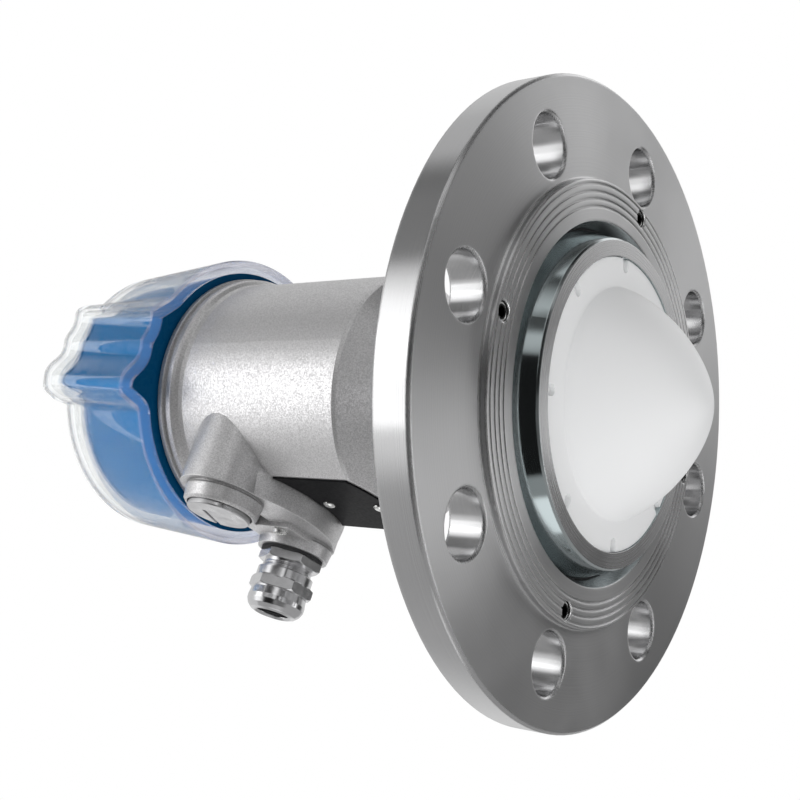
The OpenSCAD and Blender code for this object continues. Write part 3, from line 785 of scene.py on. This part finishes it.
# Panels that shiny surfaces mirror: direction, the cosines at which each begins and is full, and
# how much light it adds or takes.
PANELS = [
    ((0.74, -0.28, 0.61), (0.86, 0.96), 0.42),
    ((0.80, 0.04, 0.60), (0.95, 0.985), 0.85),
    ((0.62, 0.49, 0.60), (0.90, 0.97), -0.42),
    ((0.25, 0.80, 0.55), (0.93, 0.98), -0.1),
    ((0.0, 0.656, 0.755), (-0.06, 0.09), 0.3),
    ((-0.22, -0.97, 0.08), (0.955, 0.975), 0.9),
    ((0.64, -0.77, -0.02), (0.90, 0.95), -0.6),
    ((0.94, -0.34, -0.05), (0.90, 0.95), -0.6),
    ((0.98, 0.17, -0.03), (0.90, 0.95), -0.6),
    ((0.77, 0.64, 0.05), (0.90, 0.95), -0.6),
    ((0.90, 0.38, -0.20), (0.80, 0.97), 0.6),
    ((-0.71, -0.38, 0.59), (0.90, 0.97), 0.1),
    ((0.50, -0.25, -0.84), (0.78, 0.93), -0.26),
    ((0.62, 0.05, -0.78), (0.955, 0.985), -0.4),
    ((0.62, 0.36, -0.70), (0.955, 0.985), -0.5),
    ((0.17, 0.89, -0.43), (0.93, 0.98), -0.6),
    ((-0.12, 0.96, -0.25), (0.94, 0.98), -0.6),
    ((-0.38, 0.0, -0.92), (0.94, 0.985), 1.8),
    ((-0.62, 0.78, -0.1), (0.90, 0.97), 0.6),
    ((-0.45, 0.5, -0.74), (0.93, 0.98), -0.42),
    ((-0.85, 0.1, -0.5), (0.95, 0.985), -0.35),
]


# The least light that shiny surfaces mirror.
DARKEST = 0.015
# The light on matt surfaces: its mean, and how much it changes along each axis.
SOFT_LEVEL = 0.655
SOFT_FALL = (0.20, -0.56, -0.12)


def background(tree, strength):
    """White light from the surround."""
    return add(tree, "ShaderNodeBackground", {"Color": (1, 1, 1, 1), "Strength": strength}).outputs[0]


def studio_surround(scene, strength):
    """Studio walls. The camera sees white, also through clear plastic; shiny surfaces mirror soft
    light and dark panels; and the light on matt surfaces falls off evenly from the lower front to the
    upper back."""
    world = bpy.data.worlds.new("studio")
    world.use_nodes = True
    tree = world.node_tree
    tree.nodes.clear()
    way = add(tree, "ShaderNodeTexCoord").outputs["Generated"]
    total = 0.0
    for direction, reach, amount in PANELS:
        near = on_vectors(tree, "DOT_PRODUCT", way, Vector(direction).normalized(), result="Value")
        panel = level(tree, near, 0.0, amount, *reach, interpolation_type="SMOOTHSTEP")
        total = maths(tree, "ADD", total, panel)
    mirrored = maths(tree, "MAXIMUM", maths(tree, "ADD", total, strength), DARKEST)
    soft = maths(tree, "ADD", on_vectors(tree, "DOT_PRODUCT", way, SOFT_FALL, result="Value"), SOFT_LEVEL)
    path = add(tree, "ShaderNodeLightPath").outputs
    matt = maths(tree, "MAXIMUM", path["Is Diffuse Ray"], path["Diffuse Depth"])
    lit = mixed(tree, matt, background(tree, mirrored), background(tree, soft))
    bounces = maths(tree, "ADD", path["Diffuse Depth"], path["Glossy Depth"])
    unbounced = maths(tree, "LESS_THAN", bounces, 0.5)
    through = maths(tree, "MULTIPLY", path["Is Transmission Ray"], unbounced)
    seen = maths(tree, "MAXIMUM", path["Is Camera Ray"], through)
    add(tree, "ShaderNodeOutputWorld", {"Surface": mixed(tree, seen, lit, background(tree, 1.0))})
    scene.world = world


class TRANSMITTER_OT_steel(Operator):
    """Gives the flange, the antenna ring and the neck their turned steel"""

    bl_idname = "transmitter.steel"
    bl_label = "Turned steel"

    def execute(self, context):
        colours = context.scene.transmitter_colours
        flange = lathe_steel(
            "flange_steel", colours.steel, (0.34, 0.44), depth=0.01 * MM, stretch=0.85, edge=1.1 * MM,
            wall_rough=0.5,
        )
        coat_nodes(flange, "flange")
        # The ring's side wall carries a painted reflection tint.
        ring = lathe_steel(
            "ring_steel", (0.58, 0.58, 0.585), (0.2, 0.3), depth=0.004 * MM, wall_reflection_tint=colours.ring,
            wall_rough=0.35,
        )
        coat_nodes(ring, "antenna_ring")
        coat_nodes(lathe_steel("neck_steel", colours.steel, (0.28, 0.42)), "process_adapter")
        coat_nodes(plated("screw_steel", (0.5, 0.5, 0.51), 0.28), "swivel_screw", "retaining_ring")
        coat_nodes(thread_steel(turn=1.1 * MM, bright_r=2.8 * MM), "set_screws")
        coat_nodes(plated("guide_metal", (0.70, 0.60, 0.36), 0.3), "feed_horn", "waveguide", "terminal_tabs")
        rubber = moulded("black_rubber", (0.02, 0.02, 0.022), 0.7)
        coat_nodes(rubber, "recess_seal", "lens_seal", "neck_seal", "cover_seal")
        coat_nodes(rubber, "gland_washer", "gland_grommet", "plug_seal")
        return {"FINISHED"}


class TRANSMITTER_OT_screw_threads(Operator):
    """Cuts threads in the four small holes of the raised face"""

    bl_idname = "transmitter.screw_threads"
    bl_label = "Screw hole threads"

    def execute(self, context):
        crests = plated("thread_crests", (0.95, 0.95, 0.95), 0.15)
        for i in range(SCREW_HOLES):
            rings = helix_ridge(SCREW_HOLE_R + 0.03, -0.4, 0.8, 0.15, 0.98)
            a = FIRST_SCREW + i * TURN / SCREW_HOLES
            rings[..., 0] += SCREW_CIRCLE_R * math.cos(a)
            rings[..., 1] += SCREW_CIRCLE_R * math.sin(a)
            dress(thread(f"screw_hole_thread_{i + 1}", rings), crests, "process_connection", "screw_steel")
        return {"FINISHED"}


class TRANSMITTER_OT_lens(Operator):
    """Turns the white lens, with its dome, its disc and the spanner notches in the rim"""

    bl_idname = "transmitter.lens"
    bl_label = "Lens"

    def execute(self, context):
        fillet = context.scene.transmitter_sizes.dome_fillet / MM
        low, high = box_mm("lens")
        ring_low, _ = box_mm("antenna_ring")
        rim_r, back, tip = high[0], high[2], low[2]
        front = ring_low[2] + 0.5
        rings = turned_rings(lens_profile(tip, front, back, rim_r, fillet), 640)
        cut = notch_depth(rings[..., 0], rings[..., 1], rim_r)
        z = rings[..., 2]
        in_notch = (z < front + 2.1) & (cut > 0)
        rings[..., 2] = np.where(in_notch, np.maximum(z, front + cut), z)
        piece = rings_mesh("lens_body", rings, [0, 0, tip], [0, 0, back])
        white = lens_plastic(context.scene.transmitter_colours.lens)
        dress(piece, white, "process_connection", "white_ptfe", "lens")
        return {"FINISHED"}


def lens_profile(tip, front, back, rim_r, fillet):
    """Profile (r, z) of the lens from beside its tip to its back. The dome is a superellipse,
    (r / dome_r)^1.6 + t^1.35 = 1, where t falls from 1 at the tip to 0.015 near the disc. A quadratic
    curve joins it to the disc."""
    dome_r, step_z, spigot_r = 42.0, 2.0, 50.0
    t = 1 - np.linspace(0, 1, 46) ** 2.2 * 0.985
    dome = np.column_stack([dome_r * (1 - t**1.35) ** (1 / 1.6), front - (front - tip) * t])
    foot = dome[-1]
    corner = np.array([foot[0] + 0.1, front])
    s = np.linspace(0, 1, 7)[1:, None]
    blend = (1 - s) ** 2 * foot + 2 * s * (1 - s) * corner + s**2 * (corner + [fillet, 0])
    disc = np.column_stack([np.linspace(blend[-1][0], rim_r - 0.5, 22)[1:], np.full(21, front)])
    edge = rounded([disc[-1], [rim_r, front], [rim_r, front + 1]], 0.4)[1:]
    wall = [[rim_r, front + 2.2], [rim_r, front + 3], [rim_r, step_z], [spigot_r, step_z], [spigot_r, back]]
    return np.vstack([dome[1:], blend, disc, edge, wall])


def notch_depth(x, y, rim_r):
    """Depth at (x, y) of eight round-ended notches that run in from the rim of the lens disc."""
    count, first, width, length, depth = 8, math.radians(22.5), 3.6, 5.0, 1.8
    r, a = np.hypot(x, y), np.arctan2(y, x)
    a = (a - first + TURN / count / 2) % (TURN / count) - TURN / count / 2
    out, side = r * np.cos(a), r * np.sin(a)
    inner = rim_r - length + width / 2
    gap = np.hypot(np.minimum(out - inner, 0), side) - width / 2
    return depth * step_up(-gap / 0.3)


class TRANSMITTER_OT_housing(Operator):
    """Coats the cast housing and finishes the plate, its rivets and the ground screw"""

    bl_idname = "transmitter.housing"
    bl_label = "Housing"

    def execute(self, context):
        colours = context.scene.transmitter_colours
        coat_nodes(silver_coat(colours.coat), "housing")
        plate = moulded("black_plate", (0.008, 0.008, 0.009), 0.35, depth=0.01 * MM, specular_ior_level=0.02)
        coat_nodes(plate, "nameplate")
        rivets = plated("rivet_steel", (0.85, 0.85, 0.84), 0.2)
        coat_nodes(rivets, "plate_rivets", "ground_screw", "ground_clamp")
        return {"FINISHED"}


class TRANSMITTER_OT_inside(Operator):
    """Finishes the electronics, the terminals and the display under the cover"""

    bl_idname = "transmitter.inside"
    bl_label = "Inside"

    def execute(self, context):
        potting = moulded("potting_black", (0.03, 0.03, 0.033), 0.5)
        coat_nodes(potting, "electronics_module", "display_frame", "display_module")
        coat_nodes(moulded("board_green", (0.03, 0.2, 0.09), 0.35), "rf_board")
        coat_nodes(moulded("terminal_green", (0.09, 0.36, 0.15), 0.4), "terminal_block")
        coat_nodes(plated("terminal_steel", (0.75, 0.75, 0.72), 0.25), "terminal_screws")
        coat_nodes(moulded("window_grey", (0.20, 0.25, 0.20), 0.12, depth=0.002 * MM), "display_window")
        coat_nodes(moulded("key_grey", (0.45, 0.46, 0.47), 0.5), "display_keys")
        return {"FINISHED"}


class TRANSMITTER_OT_gland(Operator):
    """Plates the cable gland and cuts its threads"""

    bl_idname = "transmitter.gland"
    bl_label = "Cable gland"

    def execute(self, context):
        nickel = plated("nickel_plate", context.scene.transmitter_colours.nickel, 0.14)
        coat_nodes(nickel, "gland_body", "gland_nut")
        pitch = context.scene.transmitter_sizes.thread_pitch / MM
        x, z, out = entry_place("gland_body")
        tube_r = 10.3
        ridge = helix_ridge(tube_r - 0.02, 0.5, pitch, out - 11.6, out - 4, width=0.6)
        dress(thread("gland_tube_thread", to_entry(ridge, x, z)), nickel, "housing_body", "nickel")
        return {"FINISHED"}


class TRANSMITTER_OT_plug(Operator):
    """Finishes the blind plug and cuts its thread"""

    bl_idname = "transmitter.plug"
    bl_label = "Blind plug"

    def execute(self, context):
        metal = plated("plug_metal", (0.66, 0.66, 0.67), 0.3)
        coat_nodes(metal, "blind_plug")
        pitch = context.scene.transmitter_sizes.thread_pitch / MM
        x, z, out = entry_place("blind_plug")
        thread_r, depth, head_t = 9.28, 0.26, 4.2
        head = out - head_t
        ridge = helix_ridge(thread_r, depth, pitch, head - 11.4, head - 1.0)
        dress(thread("plug_thread", to_entry(ridge, x, z)), metal, "plug", "plug_metal")
        return {"FINISHED"}


class TRANSMITTER_OT_cover(Operator):
    """Moulds the blue cap and the clear shell of the cover, with their grip lobes and thread"""

    bl_idname = "transmitter.cover"
    bl_label = "Cover"

    def execute(self, context):
        sizes = context.scene.transmitter_sizes
        low, high = box_mm("clear_shell")
        shape = CoverShape(low[2], high[2], sizes.lobe_lean, sizes.outline_steps)
        band, wall = sizes.rim_band / MM, sizes.shell_wall / MM
        clear = clear_plastic((shape.rim + 1.5) * MM)
        dress(shell_piece(shape, band, wall), clear, "cover", "clear_plastic", "clear_shell")
        blue = cap_plastic(context.scene.transmitter_colours.cap, shape.rim * MM)
        _, cap_high = box_mm("blue_cover")
        dress(cap_piece(shape, band, cap_high[2]), blue, "cover", "blue_plastic", "blue_cover")
        seat = shape.rim + SEAT_RISE
        ridge = helix_ridge(BORE_R + 0.04, -0.25, sizes.cover_pitch / MM, seat + 2.5, shape.rim + 16)
        dress(thread("cover_thread", ridge), blue, "cover", "blue_plastic")
        return {"FINISHED"}


class TRANSMITTER_PT_panel(Panel):
    """Sizes, colours and building steps of the transmitter"""

    bl_label = "Radar level transmitter"
    bl_idname = "TRANSMITTER_PT_panel"
    bl_space_type = "VIEW_3D"
    bl_region_type = "UI"
    bl_category = "Transmitter"

    def draw(self, context):
        layout, scene = self.layout, context.scene
        for group in (scene.transmitter_sizes, scene.transmitter_colours, scene.transmitter_stage):
            box = layout.box()
            for name in group.bl_rna.properties.keys():
                if name not in {"rna_type", "name"}:
                    box.prop(group, name)
        for operator in OPERATORS:
            layout.operator(operator.bl_idname)


OPERATORS = (
    TRANSMITTER_OT_stage,
    TRANSMITTER_OT_steel,
    TRANSMITTER_OT_screw_threads,
    TRANSMITTER_OT_lens,
    TRANSMITTER_OT_housing,
    TRANSMITTER_OT_inside,
    TRANSMITTER_OT_gland,
    TRANSMITTER_OT_plug,
    TRANSMITTER_OT_cover,
)
CLASSES = (TransmitterSizes, TransmitterColours, TransmitterStage, *OPERATORS, TRANSMITTER_PT_panel)


def register():
    """Registers the classes and hangs the property groups on the scene."""
    for cls in CLASSES:
        bpy.utils.register_class(cls)
    bpy.types.Scene.transmitter_sizes = PointerProperty(type=TransmitterSizes)
    bpy.types.Scene.transmitter_colours = PointerProperty(type=TransmitterColours)
    bpy.types.Scene.transmitter_stage = PointerProperty(type=TransmitterStage)


def unregister():
    """Takes back what register did."""
    del bpy.types.Scene.transmitter_sizes
    del bpy.types.Scene.transmitter_colours
    del bpy.types.Scene.transmitter_stage
    for cls in reversed(CLASSES):
        bpy.utils.unregister_class(cls)


def main():
    """Registers the add-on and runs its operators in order."""
    register()
    for operator in OPERATORS:
        group, name = operator.bl_idname.split(".")
        getattr(getattr(bpy.ops, group), name)()
    bpy.context.view_layer.update()


if __name__ == "__main__":
    main()
